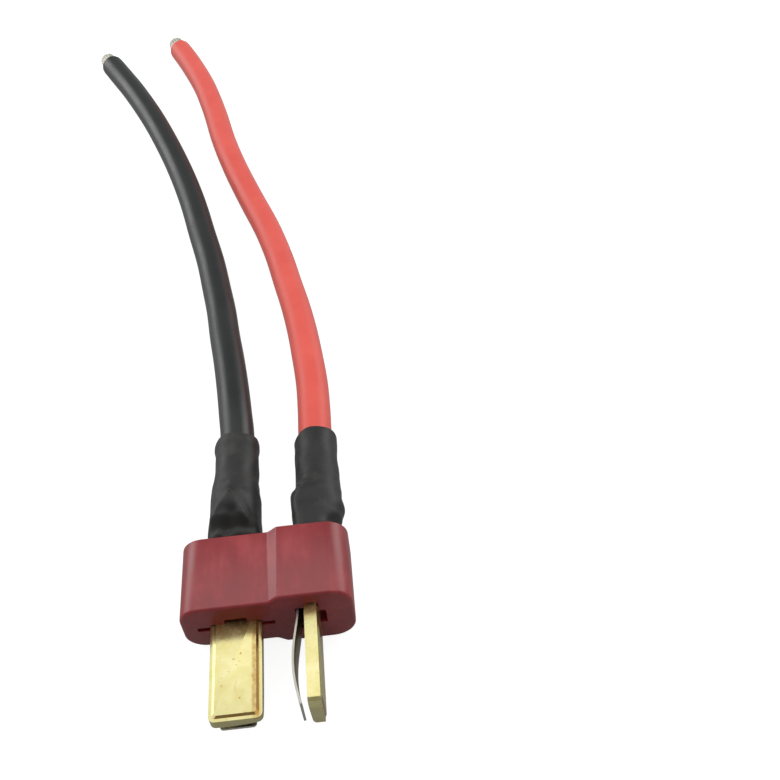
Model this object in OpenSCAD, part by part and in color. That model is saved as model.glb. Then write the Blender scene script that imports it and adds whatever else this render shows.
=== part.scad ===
// T-shaped battery connector, male side, with two soldered silicone leads.
// X runs across the plug, Y from the blades towards the leads, Z up.
// The origin is the centre of the mating face. The thick lobe stands on a table,
// on which the free part of each lead lies.

/* [Housing] */
// Width across both lobes
housing_w = 16.3; // [15.3:0.5:20.3]
// Length from the mating face to the back face
housing_l = 8; // [6:0.5:12]
// Height of the lobe that carries the upright blade
thick_h = 8; // [7.5:0.25:10]
// Height of the lobe that carries the flat blade
thin_h = 6.5; // [6:0.25:7.25]
// Corner radius of the thick lobe
thick_r = 2.3; // [1:0.1:3]
// Corner radius of the thin lobe
thin_r = 2.1; // [1:0.1:2.8]
// Distance from the middle to where the slope between the lobes starts
step_x = 0.4; // [0:0.1:0.6]
// Width of the slope between the lobes
step_w = 0.9; // [0.6:0.1:1.2]

/* [Contacts] */
// Distance from the middle to the centre of the flat blade
flat_x = 3; // [2.8:0.1:4.2]
// How far the flat blade sits below mid height
flat_drop = 0.15; // [0:0.05:0.3]
// Distance from the middle to the centre of the upright blade
upright_x = 4.2; // [4:0.1:4.8]
// Width of a blade
blade_w = 4.8; // [4.6:0.1:5.4]
// Thickness of a contact
blade_t = 1.3; // [1:0.05:1.5]
// Length of a blade in front of the housing
blade_l = 9.5; // [8:0.1:12]
// How far a blade reaches into the housing at its full width
blade_seat = 2; // [1:0.25:3]
// Radius of the blade's long edges
coin_r = 0.12; // [0.05:0.01:0.25]
// Width of the sloped rim along the blade's outer face
rim_w = 0.5; // [0.3:0.05:0.8]
// Depth of the sloped rim at the blade's edge
rim_d = 0.14; // [0.05:0.01:0.25]
// Corner radius of the blade tip
tip_r = 0.5; // [0.2:0.1:1]
// Length of the bevel at the blade tip
tip_bevel = 0.5; // [0.3:0.1:1.2]
// Depth of the bevel at the blade tip
tip_drop = 0.12; // [0.06:0.01:0.3]
// Width of the solder tab
tab_w = 4; // [3.4:0.1:4.2]
// Length of the solder tab behind the housing
tab_l = 6.5; // [5.5:0.1:7]
// Corner radius of the solder tab
tab_r = 1; // [0.4:0.1:1.4]

/* [Springs] */
// Width of a leaf spring
spring_w = 3.3; // [2.6:0.1:3.6]
// Thickness of the spring strip
spring_t = 0.22; // [0.15:0.01:0.3]
// Gap between blade and spring at the mating face
spring_gap = 0.5; // [0.45:0.05:0.7]
// How far the bow stands off the blade
spring_bow = 1.11; // [0.9:0.03:1.5]
// Gap between blade and spring at the tip
spring_tip_gap = 0.48; // [0.42:0.01:0.6]
// Distance from the mating face to the spring tip
spring_l = 9.5; // [7:0.1:9.6]
// Depth of the spring root in the housing
spring_root = 2; // [1:0.25:3]
// Free play around the spring root
root_play = 0.15; // [0.12:0.01:0.25]

/* [Pockets] */
// Depth of the small pockets in the mating face
pocket_d = 1; // [0.5:0.1:2]
// Width of the slit beside each blade edge
slit_w = 1; // [0.5:0.1:1.1]
// Height of the slit beside each blade edge
slit_h = 0.6; // [0.2:0.05:0.7]
// Width of the notch behind each blade
notch_w = 2.1; // [1:0.1:3]
// Height of the notch behind each blade
notch_h = 0.65; // [0.3:0.05:0.9]

/* [Leads] */
// Outer diameter of a lead
wire_d = 3.7; // [3:0.1:3.7]
// Diameter of the stranded core
core_d = 1.6; // [1.2:0.1:1.8]
// Diameter of the bare tinned end
bare_d = 2.2; // [1.6:0.1:2.4]
// Length of the bare tinned end
bare_l = 3; // [1:0.2:4]
// Length of stripped core over the tab
strip_l = 4.5; // [3:0.1:4.6]
// Distance from the back face to where the jacket starts
jacket_start = 7.6; // [7.4:0.1:8]
// Distance from the middle plane of a contact to the lead's axis
lead_offset = 1.15; // [1.1:0.05:1.2]
// Thickness of solder over the core
solder_t = 0.2; // [0.1:0.05:0.25]
// Half width of the solder where it wets the tab
solder_w = 1.5; // [1.1:0.1:1.6]
// Length of the solder joint
solder_l = 3.4; // [2:0.1:3.6]

/* [Sleeves] */
// Wall of the shrink sleeve
sleeve_t = 0.4; // [0.3:0.05:0.4]
// Length of the sleeve behind the housing
sleeve_l = 13.6; // [12:0.2:20]
// Room between the shrunk sleeve and the tab or solder
tab_room = 0.3; // [0.2:0.05:0.4]
// Room between the shrunk sleeve and the jacket
jacket_room = 0.05; // [0.04:0.01:0.15]

/* [Hidden] */
fine = 48;
wire_r = wire_d / 2;
core_r = core_d / 2;
core_v = blade_t / 2 + core_r;
strip_from = housing_l + jacket_start - strip_l;
solder_from = strip_from - 0.3;
spring_v = blade_t / 2 + spring_gap;
over_tab = tab_w / 2 + tab_room + sleeve_t;
under_tab = blade_t / 2 + tab_room + sleeve_t;
over_core = core_v + core_r + solder_t + tab_room + sleeve_t;
over_jacket = wire_r + jacket_room + sleeve_t;
black_v = [-flat_x, -flat_drop];
red_v = [upright_x, 0];

// Resting route of the black lead, behind its straight part in the sleeve
black_free = [
    [-3.3, 26, 0.9], [-3.8, 31, 0.3], [-4.4, 36, -0.3], [-5.1, 41, -0.9],
    [-5.7, 46, -1.4], [-6.5, 51, -1.8], [-7.5, 57, -2], [-8.9, 63.5, -2.1],
    [-10.5, 71, -2.1], [-12.6, 79, -2.1], [-15.1, 87, -2.1],
    [-18.1, 95.5, -2.1], [-21.6, 104, -2.1], [-24.4, 110, -2.1],
    [-26.194, 113.738, -2.1]];
// Resting route of the red lead, behind its straight part in the sleeve
red_free = [
    [5.4, 26.5, -0.1], [5.3, 31, -0.4], [4.9, 36, -0.8], [4.4, 41, -1.3],
    [3.7, 46, -1.7], [2.8, 51, -2], [1.7, 57, -2.1], [0.1, 63.5, -2.1],
    [-2.2, 71, -2.1], [-4.5, 79, -2.1], [-6.4, 87, -2.1], [-8, 95.5, -2.1],
    [-10, 104, -2.1], [-12.6, 112, -2.1], [-14.597, 117.193, -2.1]];

// Places a contact, which is drawn flat, on the middle of the flat blade
module at_flat() translate([black_v[0], 0, black_v[1]]) children();
// Places a contact, which is drawn flat, turned upright
module at_upright() translate([red_v[0], 0, red_v[1]]) rotate([0, 90, 0]) children();

// Rounded rectangle about the origin, from bars and discs
module round_rect(w, h, r) {
    square([w - 2 * r, h], center = true);
    square([w, h - 2 * r], center = true);
    for (i = [-1, 1], j = [-1, 1])
        translate([i * (w / 2 - r), j * (h / 2 - r)]) circle(r, $fn = fine);
}

// Extrudes a profile drawn in X and Z along +Y, from y0 over a length l
module along_y(y0, l) translate([0, y0 + l, 0]) rotate([90, 0, 0]) linear_extrude(l) children();

// Half of the housing section, rounded on its outer side only
module lobe(x0, x1, h, r) {
    s = x1 > x0 ? 1 : -1;
    w = abs(x1 - x0);
    translate([s > 0 ? x0 : x1 + r, -h / 2]) square([w - r, h]);
    translate([s > 0 ? x1 - r : x1, -h / 2 + r]) square([r, h - 2 * r]);
    for (j = [-1, 1]) translate([x1 - s * r, j * (h / 2 - r)]) circle(r, $fn = fine);
}

module housing_section() {
    lobe(step_x, -housing_w / 2, thin_h, thin_r);
    lobe(step_x + step_w, housing_w / 2, thick_h, thick_r);
    polygon([[step_x - 0.01, -thin_h / 2], [step_x, -thin_h / 2], [step_x + step_w, -thick_h / 2],
        [step_x + step_w + 0.01, -thick_h / 2], [step_x + step_w + 0.01, thick_h / 2],
        [step_x + step_w, thick_h / 2], [step_x, thin_h / 2], [step_x - 0.01, thin_h / 2]]);
}

// Room that one contact and its spring take in the housing
module contact_room() {
    along_y(-1, housing_l + 2) square([tab_w, blade_t], center = true);
    along_y(-1, 1 + blade_seat) square([blade_w, blade_t], center = true);
    along_y(-1, 1 + pocket_d) square([blade_w + 2 * slit_w, slit_h], center = true);
    along_y(-1, 1 + pocket_d) translate([0, blade_t / 2 + notch_h / 2 - 0.1])
        square([notch_w, notch_h + 0.2], center = true);
    along_y(-1, 1 + spring_root + root_play)
        translate([-spring_w / 2 - root_play, -spring_v - spring_t - root_play])
        square([spring_w + 2 * root_play, spring_t + spring_gap + 2 * root_play]);
}

module housing() color("#9c2f3c") difference() {
    along_y(0, housing_l) housing_section();
    at_flat() contact_room();
    at_upright() contact_room();
}

// Contact strip: rimmed blade in front, plain shank and rounded solder tab behind
module contact() {
    along_y(0, blade_seat) square([blade_w, blade_t], center = true);
    difference() {
        intersection() {
            along_y(-blade_l, blade_l) round_rect(blade_w, blade_t, coin_r);
            translate([0, 0, -blade_t / 2]) linear_extrude(blade_t) {
                translate([-blade_w / 2, -blade_l + tip_r]) square([blade_w, blade_l - tip_r]);
                translate([-blade_w / 2 + tip_r, -blade_l]) square([blade_w - 2 * tip_r, blade_l]);
                for (i = [-1, 1]) translate([i * (blade_w / 2 - tip_r), -blade_l + tip_r])
                    circle(tip_r, $fn = fine);
            }
        }
        for (i = [-1, 1]) along_y(-blade_l - 1, blade_l + 1)
            polygon([[i * (blade_w / 2 - rim_w), blade_t / 2], [i * (blade_w / 2 - rim_w), blade_t],
                [i * (blade_w / 2 + rim_w), blade_t], [i * (blade_w / 2 + rim_w), blade_t / 2 - 2 * rim_d]]);
        for (s = [0, 1]) mirror([0, 0, s]) translate([-blade_w, 0, 0]) rotate([90, 0, 90])
            linear_extrude(2 * blade_w) polygon([[-blade_l - 1, blade_t / 2 - tip_drop - tip_drop / tip_bevel],
                [-blade_l + tip_bevel, blade_t / 2], [-blade_l + tip_bevel, blade_t], [-blade_l - 1, blade_t]]);
    }
    translate([0, 0, -blade_t / 2]) linear_extrude(blade_t) {
        translate([-tab_w / 2, 0]) square([tab_w, housing_l + tab_l - tab_r]);
        translate([-tab_w / 2 + tab_r, 0]) square([tab_w - 2 * tab_r, housing_l + tab_l]);
        for (i = [-1, 1]) translate([i * (tab_w / 2 - tab_r), housing_l + tab_l - tab_r])
            circle(tab_r, $fn = fine);
    }
}
module flat_blade() color("#d9bf6a") at_flat() contact();
module upright_blade() color("#d9bf6a") at_upright() contact();

// Bowed centre line of the spring: distance off the blade's face at a distance y
// in front of the mating face, flat in the root, one arch to the tip, fuller
// towards the tip
function arch(t) = spring_gap * (1 - t) + spring_tip_gap * t
    + (spring_bow - (spring_gap + spring_tip_gap) / 2) * sin(180 * pow(t, 1.2));
module spring() {
    n = 14;
    outer = [for (i = [0:n]) [-spring_l * i / n, -blade_t / 2 - arch(i / n) - spring_t]];
    inner = [for (i = [n:-1:0]) [-spring_l * i / n, -blade_t / 2 - arch(i / n)]];
    translate([-spring_w / 2, 0, 0]) rotate([90, 0, 90]) linear_extrude(spring_w)
        polygon(concat([[spring_root, -spring_v - spring_t]], outer, inner, [[spring_root, -spring_v]]));
}
module flat_spring() color("#a3a39c") at_flat() spring();
module upright_spring() color("#a3a39c") at_upright() spring();

// Solder fillet that wraps the core and wets the tab, closed in front of the core
module solder() difference() {
    along_y(solder_from, solder_l) {
        intersection() {
            translate([0, core_v]) circle(core_r + solder_t, $fn = fine);
            translate([-solder_w, blade_t / 2]) square([2 * solder_w, 4 * core_r]);
        }
        polygon([[-solder_w, blade_t / 2], [solder_w, blade_t / 2],
            [core_r + solder_t / 2, core_v], [-core_r - solder_t / 2, core_v]]);
    }
    translate([0, strip_from, core_v]) rotate([-90, 0, 0]) cylinder(h = strip_l + 1, r = core_r, $fn = fine);
}
module black_solder() color("#b9bcc0") at_flat() solder();
module red_solder() color("#b9bcc0") at_upright() solder();

// Twisted core, stripped of its jacket over the tab
module core() translate([0, strip_from, core_v]) rotate([-90, 0, 0])
    cylinder(h = strip_l, r = core_r, $fn = fine);
module black_core() color("#c58a5a") at_flat() core();
module red_core() color("#c58a5a") at_upright() core();

// Shrink sleeve as rings: distance behind the housing, middle, half width,
// height above and below the middle, and how square each half is
sleeve_ring = [
    [0, 0, over_tab + 0.05, under_tab + 0.2, under_tab, 3, 4],
    [1.4, 0, over_tab, over_core - 0.75, under_tab + 0.05, 2.6, 4],
    [3, 0.1, over_tab - 0.05, over_core + 0.15, under_tab + 0.35, 2.3, 4],
    [4.3, 0.15, over_tab - 0.1, over_core + 0.4, under_tab + 0.5, 2.2, 3.5],
    [tab_l - 0.9, 0.35, over_tab, over_core, under_tab + 0.7, 2, 3],
    [jacket_start - 0.9, 0.85, over_jacket + 0.15, over_jacket + 0.35, over_jacket - 0.2, 2, 2.4],
    [jacket_start + 0.6, lead_offset, over_jacket, over_jacket, over_jacket, 2, 2],
    [sleeve_l - 0.4, lead_offset, over_jacket + 0.05, over_jacket + 0.05, over_jacket + 0.05, 2, 2],
    [sleeve_l, lead_offset, over_jacket + 0.05, over_jacket + 0.05, over_jacket + 0.05, 2, 2]];
function spow(c, n) = sign(c) * pow(abs(c), 2 / n);
function ring(k, d, m) = [for (i = [0:m - 1]) let (a = 360 * i / m, up = sin(a) >= 0,
    n = up ? k[5] : k[6]) [(k[2] - d) * spow(cos(a), n), housing_l + k[0],
    k[1] + ((up ? k[3] : k[4]) - d) * spow(sin(a), n)]];
module sleeve() {
    m = 32;
    q = len(sleeve_ring);
    pts = concat([for (k = sleeve_ring) each ring(k, 0, m)],
        [for (k = sleeve_ring) each ring(k, sleeve_t, m)]);
    function at(s, r, i) = s * q * m + r * m + i % m;
    polyhedron(pts, concat(
        [for (r = [0:q - 2], i = [0:m - 1]) each [[at(0, r, i), at(0, r + 1, i), at(0, r + 1, i + 1)],
            [at(0, r, i), at(0, r + 1, i + 1), at(0, r, i + 1)]]],
        [for (r = [0:q - 2], i = [0:m - 1]) each [[at(1, r, i), at(1, r + 1, i + 1), at(1, r + 1, i)],
            [at(1, r, i), at(1, r, i + 1), at(1, r + 1, i + 1)]]],
        [for (i = [0:m - 1]) each [[at(0, 0, i), at(0, 0, i + 1), at(1, 0, i + 1)],
            [at(0, 0, i), at(1, 0, i + 1), at(1, 0, i)]]],
        [for (i = [0:m - 1]) each [[at(0, q - 1, i), at(1, q - 1, i + 1), at(0, q - 1, i + 1)],
            [at(0, q - 1, i), at(1, q - 1, i), at(1, q - 1, i + 1)]]]));
}
module black_sleeve() color("#3c3c3a") at_flat() sleeve();
module red_sleeve() color("#3c3c3a") at_upright() sleeve();

// Leads: one tube swept along each route, its rings square to the route
function unit(v) = v / norm(v);
function heading(p, i) = i == 0 ? unit(p[1] - p[0])
    : i == len(p) - 1 ? unit(p[i] - p[i - 1])
    : unit(unit(p[i] - p[i - 1]) + unit(p[i + 1] - p[i]));
function side(t) = unit(cross(t, [0, 0, 1]));
module tube(p, r, m = 8) {
    n = len(p);
    pts = [for (i = [0:n - 1]) let (t = heading(p, i), s = side(t), u = cross(s, t))
        for (j = [0:m - 1]) p[i] + r * (cos(360 * j / m) * s + sin(360 * j / m) * u)];
    polyhedron(pts, concat([[for (j = [0:m - 1]) j]],
        [for (i = [0:n - 2], j = [0:m - 1]) let (a = i * m + j, b = i * m + (j + 1) % m)
            each [[a, a + m, b + m], [a, b + m, b]]],
        [[for (j = [m - 1:-1:0]) (n - 1) * m + j]]));
}
black_path = concat([[black_v[0], housing_l + jacket_start, black_v[1] + lead_offset],
    [black_v[0], housing_l + sleeve_l, black_v[1] + lead_offset]], black_free);
red_path = concat([[red_v[0] + lead_offset, housing_l + jacket_start, red_v[1]],
    [red_v[0] + lead_offset, housing_l + sleeve_l, red_v[1]]], red_free);
module black_wire() color("#2b2d2e") tube(black_path, wire_r);
module red_wire() color("#e0665c") tube(red_path, wire_r);

// Tinned end of the core where the jacket stops
module bare_end(p) {
    q = p[len(p) - 1];
    t = heading(p, len(p) - 1);
    translate(q) rotate([0, 0, atan2(t[1], t[0])]) rotate([0, 90, 0])
        cylinder(h = bare_l, r = bare_d / 2, $fn = fine);
}
module black_bare_end() color("#c9c7c0") bare_end(black_path);
module red_bare_end() color("#c9c7c0") bare_end(red_path);

housing();
flat_blade();
upright_blade();
flat_spring();
upright_spring();
black_solder();
red_solder();
black_core();
red_core();
black_sleeve();
red_sleeve();
black_wire();
red_wire();
black_bare_end();
red_bare_end();
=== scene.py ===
# %% [markdown]
# # A battery plug with two soldered leads
# The plug is a moulded nylon housing with two flat gilt blades, one lying and
# one standing, each with a leaf spring beside it. Two silicone leads are
# soldered on behind, under shrink sleeves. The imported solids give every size
# and place, and this file dresses them for the picture.

# %% Load the frame
import math
import random

import bmesh
import bpy
from mathutils import Matrix, Vector


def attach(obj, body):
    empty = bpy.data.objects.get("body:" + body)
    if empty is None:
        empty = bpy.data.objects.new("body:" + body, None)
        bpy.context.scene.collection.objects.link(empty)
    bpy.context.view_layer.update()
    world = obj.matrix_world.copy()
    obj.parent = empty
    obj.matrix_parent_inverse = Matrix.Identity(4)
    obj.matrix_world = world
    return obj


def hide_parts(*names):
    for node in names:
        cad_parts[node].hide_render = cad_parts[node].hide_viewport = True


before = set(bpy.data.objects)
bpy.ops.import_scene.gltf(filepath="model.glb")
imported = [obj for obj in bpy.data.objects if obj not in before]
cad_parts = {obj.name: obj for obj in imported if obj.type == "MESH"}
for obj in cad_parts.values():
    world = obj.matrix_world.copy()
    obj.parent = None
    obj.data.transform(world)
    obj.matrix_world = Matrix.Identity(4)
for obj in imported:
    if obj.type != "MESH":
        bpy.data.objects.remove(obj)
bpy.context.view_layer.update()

MM = 0.001
WIRE_R = 1.85 * MM
CORE_R = 0.8 * MM
print("nodes:", sorted(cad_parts))

# %% [markdown]
# ## Camera
# The picture was taken from about 100 mm away, above and a little to the
# right. A camera so close gives strong perspective, so its place matters more
# than its angle: it was worked out from the corners of the housing.

# %% Camera
CAM_PLACE = Vector((10.99, -48.12, 81.57)) * MM
CAM_DOWN, CAM_TURN, CAM_ROLL = 0.819, -0.042, -0.074
CAM_FOCUS_PX, FRAME_PX = 978, 780


def camera_matrix():
    """Axes of a camera that looks along +Y, tilted down, turned and rolled."""
    ahead = Vector((-math.sin(CAM_TURN) * math.cos(CAM_DOWN),
                    math.cos(CAM_TURN) * math.cos(CAM_DOWN),
                    -math.sin(CAM_DOWN)))
    flat = ahead.cross(Vector((0, 0, 1))).normalized()
    rise = flat.cross(ahead)
    right = math.cos(CAM_ROLL) * flat + math.sin(CAM_ROLL) * rise
    up = math.cos(CAM_ROLL) * rise - math.sin(CAM_ROLL) * flat
    turn = Matrix((right, up, -ahead)).transposed().to_4x4()
    return Matrix.Translation(CAM_PLACE) @ turn


camera = bpy.data.objects.new("camera", bpy.data.cameras.new("camera"))
bpy.context.scene.collection.objects.link(camera)
camera.matrix_world = camera_matrix()
camera.data.sensor_width = 36
camera.data.lens = 36 * CAM_FOCUS_PX / FRAME_PX
camera.data.clip_start = 0.005
bpy.context.scene.camera = camera
print("lens", round(camera.data.lens, 1), "mm")

# %% [markdown]
# ## Helpers
# Colours are written as sRGB hex and turned to linear in one place. One
# function adds a shader node with its settings and links. `finish_piece`
# freezes modifiers, so that each object sits at the origin with its place in
# its mesh.

# %% Helpers


def linear(code):
    """sRGB hex to a linear RGBA colour."""
    parts = [int(code[i:i + 2], 16) / 255 for i in (1, 3, 5)]
    return tuple(c / 12.92 if c <= 0.04045 else ((c + 0.055) / 1.055) ** 2.4
                 for c in parts) + (1.0,)


def node(tree, kind, settings=None, **sockets):
    """Adds a node; a socket takes a value or another node's output."""
    made = tree.nodes.new(kind)
    for name, value in (settings or {}).items():
        setattr(made, name, value)
    for name, value in sockets.items():
        key = int(name[1:]) if name[0] == "i" and name[1:].isdigit() \
            else name.replace("_", " ")
        if isinstance(value, bpy.types.NodeSocket):
            tree.links.new(value, made.inputs[key])
        else:
            made.inputs[key].default_value = value
    return made


def new_material(name, **sockets):
    """A material with its Principled shader and Object coordinates."""
    material = bpy.data.materials.new(name)
    material.use_nodes = True
    tree = material.node_tree
    shader = tree.nodes["Principled BSDF"]
    for key, value in sockets.items():
        shader.inputs[key.replace("_", " ")].default_value = value
    place = node(tree, "ShaderNodeTexCoord").outputs["Object"]
    return material, tree, shader, place


def ramp(tree, factor, stops, ease="LINEAR"):
    """A colour ramp over (position, colour) stops."""
    made = node(tree, "ShaderNodeValToRGB", Fac=factor)
    made.color_ramp.interpolation = ease
    points = made.color_ramp.elements
    while len(points) < len(stops):
        points.new(0.5)
    for point, (where, colour) in zip(points, stops):
        point.position = where
        point.color = colour if len(colour) == 4 else (*colour, 1)
    return made.outputs["Color"]


def grey(level):
    return (level, level, level, 1)


def select_only(*objects):
    bpy.ops.object.select_all(action="DESELECT")
    for item in objects:
        item.select_set(True)
    bpy.context.view_layer.objects.active = objects[0]


def paint(piece, material):
    """One material on a piece or a CAD node."""
    if not piece.material_slots:
        piece.data.materials.append(material)
    for held in piece.material_slots:
        held.material = material


def finish_piece(piece, name, body, material, replaced=(), smooth=35):
    """Freezes place and modifiers, smooths, and gives the piece its body."""
    piece.name = piece.data.name = name
    select_only(piece)
    for modifier in list(piece.modifiers):
        bpy.ops.object.modifier_apply(modifier=modifier.name)
    bpy.ops.object.transform_apply(location=True, rotation=True, scale=True)
    bpy.ops.object.shade_smooth_by_angle(angle=math.radians(smooth))
    paint(piece, material)
    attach(piece, body)
    if replaced:
        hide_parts(*replaced)
    print(name, len(piece.data.polygons), "faces,",
          [round(side / MM, 2) for side in piece.dimensions], "mm")
    return piece


# %% Modelling helpers


def block(name, low, high):
    """A cube added at its size and place, both given in millimetres."""
    low, high = Vector(low) * MM, Vector(high) * MM
    bpy.ops.object.select_all(action="DESELECT")
    bpy.ops.mesh.primitive_cube_add(size=1.0, location=(low + high) / 2)
    piece = bpy.context.active_object
    piece.name = name
    piece.scale = high - low
    bpy.ops.object.transform_apply(location=True, rotation=True, scale=True)
    return piece


def edit(piece, mode):
    """Opens a piece in edit mode with nothing selected."""
    select_only(piece)
    bpy.ops.object.mode_set(mode="EDIT")
    bpy.ops.mesh.select_mode(type=mode)
    bpy.ops.mesh.select_all(action="DESELECT")


def pick(piece, mode, wanted):
    """Selects the vertices, edges or faces that a test wants."""
    mesh = bmesh.from_edit_mesh(piece.data)
    bpy.ops.mesh.select_all(action="DESELECT")
    group = {"VERT": mesh.verts, "EDGE": mesh.edges, "FACE": mesh.faces}[mode]
    for part in group:
        if wanted(part):
            part.select_set(True)
    mesh.select_flush(mode == "VERT")
    bmesh.update_edit_mesh(piece.data)


def ends(edge, test):
    return all(test(vert.co / MM) for vert in edge.verts)


def along(edge, axis):
    """Whether an edge runs along an axis."""
    run = (edge.verts[1].co - edge.verts[0].co).normalized()
    return abs(run[axis]) > 0.999


def close():
    bpy.ops.object.mode_set(mode="OBJECT")


def cut(piece, cutter):
    """Takes one solid out of another."""
    hole = piece.modifiers.new("cut", "BOOLEAN")
    hole.operation, hole.solver, hole.object = "DIFFERENCE", "MANIFOLD", cutter
    select_only(piece)
    bpy.ops.object.modifier_apply(modifier=hole.name)
    bpy.data.objects.remove(cutter)

# %% [markdown]
# ## Leads
# Each lead is one length of silicone wire, about 105 mm from the solder to
# the bare end. Silicone wire is limp, so behind the stiff sleeve it sinks in
# one easy curve until it lies on the table. The route is the same list of
# points as in the solid model, with a smooth curve passed through them.

# %% Silicone jackets


def moulded_silicone(name, dark, light, sheen, gloss, rough_from, rough_to):
    """Extruded silicone jacket: soft satin skin, dusty where hands touched it,
    with a fine grain. Silicone rubber has an IOR of 1.41."""
    material, tree, shader, place = new_material(
        name, Roughness=0.42, IOR=1.41, Specular_IOR_Level=gloss,
        Sheen_Weight=sheen, Sheen_Roughness=0.4)
    cloud = node(tree, "ShaderNodeTexNoise", Vector=place, Scale=160.0,
                 Detail=4.0, Roughness=0.6)
    grain = node(tree, "ShaderNodeTexNoise", Vector=place, Scale=2600.0,
                 Detail=3.0, Roughness=0.6)
    colour = ramp(tree, cloud.outputs["Fac"],
                  [(0.3, linear(dark)), (0.7, linear(light))])
    tree.links.new(colour, shader.inputs["Base Color"])
    rough = node(tree, "ShaderNodeMapRange", Value=cloud.outputs["Fac"],
                 From_Min=0.3, From_Max=0.7, To_Min=rough_from,
                 To_Max=rough_to)
    tree.links.new(rough.outputs["Result"], shader.inputs["Roughness"])
    bump = node(tree, "ShaderNodeBump", Height=grain.outputs["Fac"],
                Strength=0.12, Distance=0.03 * MM)
    tree.links.new(bump.outputs["Normal"], shader.inputs["Normal"])
    return material


BLACK_SILICONE = moulded_silicone(
    "black_silicone", "#0c0f10", "#151a1b", sheen=0.05, gloss=0.75,
    rough_from=0.32, rough_to=0.44)
RED_SILICONE = moulded_silicone(
    "red_silicone", "#ea5a4e", "#f4665a", sheen=0.15, gloss=0.5,
    rough_from=0.36, rough_to=0.5)

JACKET_START, SLEEVE_END = 15.6, 22
BLACK_ROUTE = [
    (-3, JACKET_START, 1.0), (-3, SLEEVE_END, 1.0), (-3.3, 26, 0.9),
    (-3.8, 31, 0.3), (-4.4, 36, -0.3), (-5.1, 41, -0.9), (-5.7, 46, -1.4),
    (-6.5, 51, -1.8), (-7.5, 57, -2), (-8.9, 63.5, -2.1), (-10.5, 71, -2.1),
    (-12.6, 79, -2.1), (-15.1, 87, -2.1), (-18.1, 95.5, -2.1),
    (-21.6, 104, -2.1), (-24.4, 110, -2.1), (-26.194, 113.738, -2.1)]
RED_ROUTE = [
    (5.35, JACKET_START, 0), (5.35, SLEEVE_END, 0), (5.4, 26.5, -0.1),
    (5.3, 31, -0.4), (4.9, 36, -0.8), (4.4, 41, -1.3), (3.7, 46, -1.7),
    (2.8, 51, -2), (1.7, 57, -2.1), (0.1, 63.5, -2.1), (-2.2, 71, -2.1),
    (-4.5, 79, -2.1), (-6.4, 87, -2.1), (-8, 95.5, -2.1),
    (-10, 104, -2.1), (-12.6, 112, -2.1), (-14.597, 117.193, -2.1)]


def smooth_route(points, steps=6):
    """Catmull-Rom points through a route in millimetres, in metres."""
    p = [Vector(q) * MM for q in points]
    p = [2 * p[0] - p[1]] + p + [2 * p[-1] - p[-2]]
    line = []
    for a, b, c, d in zip(p, p[1:], p[2:], p[3:]):
        for i in range(steps):
            t = i / steps
            line.append(0.5 * (2 * b + (c - a) * t
                               + (2 * a - 5 * b + 4 * c - d) * t ** 2
                               + (3 * b - a - 3 * c + d) * t ** 3))
    return line + [p[-2]]


def route_length(line):
    return sum((b - a).length for a, b in zip(line, line[1:]))


# %% Tinned strands
# The strands fan out a little from the core
BARE_R, BARE_L = 1.3, 3.0
STRAND_R = 0.185


def tinned_copper(name):
    """Fine copper strands dipped in solder: soft greyish white tin that fills
    the gaps, dull where flux was left."""
    material, tree, shader, place = new_material(
        name, Metallic=1.0, Roughness=0.45)
    cloud = node(tree, "ShaderNodeTexNoise", Vector=place, Scale=900.0,
                 Detail=4.0, Roughness=0.6)
    colour = ramp(tree, cloud.outputs["Fac"], [(0.3, linear("#c4c2b5")),
                                               (0.6, linear("#dad8cc")),
                                               (0.75, linear("#b0a990"))])
    tree.links.new(colour, shader.inputs["Base Color"])
    rough = node(tree, "ShaderNodeMapRange", Value=cloud.outputs["Fac"],
                 From_Min=0.3, From_Max=0.7, To_Min=0.35, To_Max=0.55)
    tree.links.new(rough.outputs["Result"], shader.inputs["Roughness"])
    bump = node(tree, "ShaderNodeBump", Height=cloud.outputs["Fac"],
                Strength=0.3, Distance=0.04 * MM)
    tree.links.new(bump.outputs["Normal"], shader.inputs["Normal"])
    return material


TINNED = tinned_copper("tinned_strand")


def strand_places():
    """Centres of round strands packed in rings about one in the middle."""
    places = [(0.0, 0.0)]
    for ring in (1, 2, 3):
        reach = 2 * STRAND_R * ring
        for i in range(6 * ring):
            turn = 2 * math.pi * i / (6 * ring) + 0.2 * ring
            places.append((reach * math.cos(turn), reach * math.sin(turn)))
    return places


def strand(across, up, long, radius, sides):
    """One strand along +X with a rounded end."""
    bpy.ops.object.select_all(action="DESELECT")
    bpy.ops.mesh.primitive_cylinder_add(
        vertices=sides, radius=radius * MM, depth=long * MM,
        location=(long / 2 * MM, across * MM, up * MM),
        rotation=(0, math.radians(90), 0))
    piece = bpy.context.active_object
    bpy.ops.object.transform_apply(location=True, rotation=True, scale=True)
    edit(piece, "FACE")
    pick(piece, "FACE", lambda f: f.normal.x > 0.9)
    bpy.ops.mesh.bevel(offset=0.4 * radius * MM, segments=2, affect="EDGES")
    close()
    return piece


def strand_bundle(name, points):
    """Tinned strands that come out of the jacket's end, domed by the tin."""
    random.seed(7)
    bundle = [strand(0, 0, BARE_L - 0.35, BARE_R - 0.12, 24)]
    for across, up in strand_places():
        out = math.hypot(across, up) / BARE_R
        long = BARE_L - 0.55 * out ** 2 - random.uniform(0, 0.12)
        bundle.append(strand(across, up, long, STRAND_R, 8))
    select_only(*bundle)
    bpy.ops.object.join()
    piece = bpy.context.view_layer.objects.active
    end, before = Vector(points[-1]) * MM, Vector(points[-2]) * MM
    ahead = (end - before).normalized()
    piece.data.transform(Matrix.Translation(end)
                         @ ahead.to_track_quat("X", "Z").to_matrix().to_4x4())
    return finish_piece(piece, name, "plug", TINNED,
                        (name.replace("strands", "bare_end"),), smooth=50)


# %% Jackets


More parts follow.
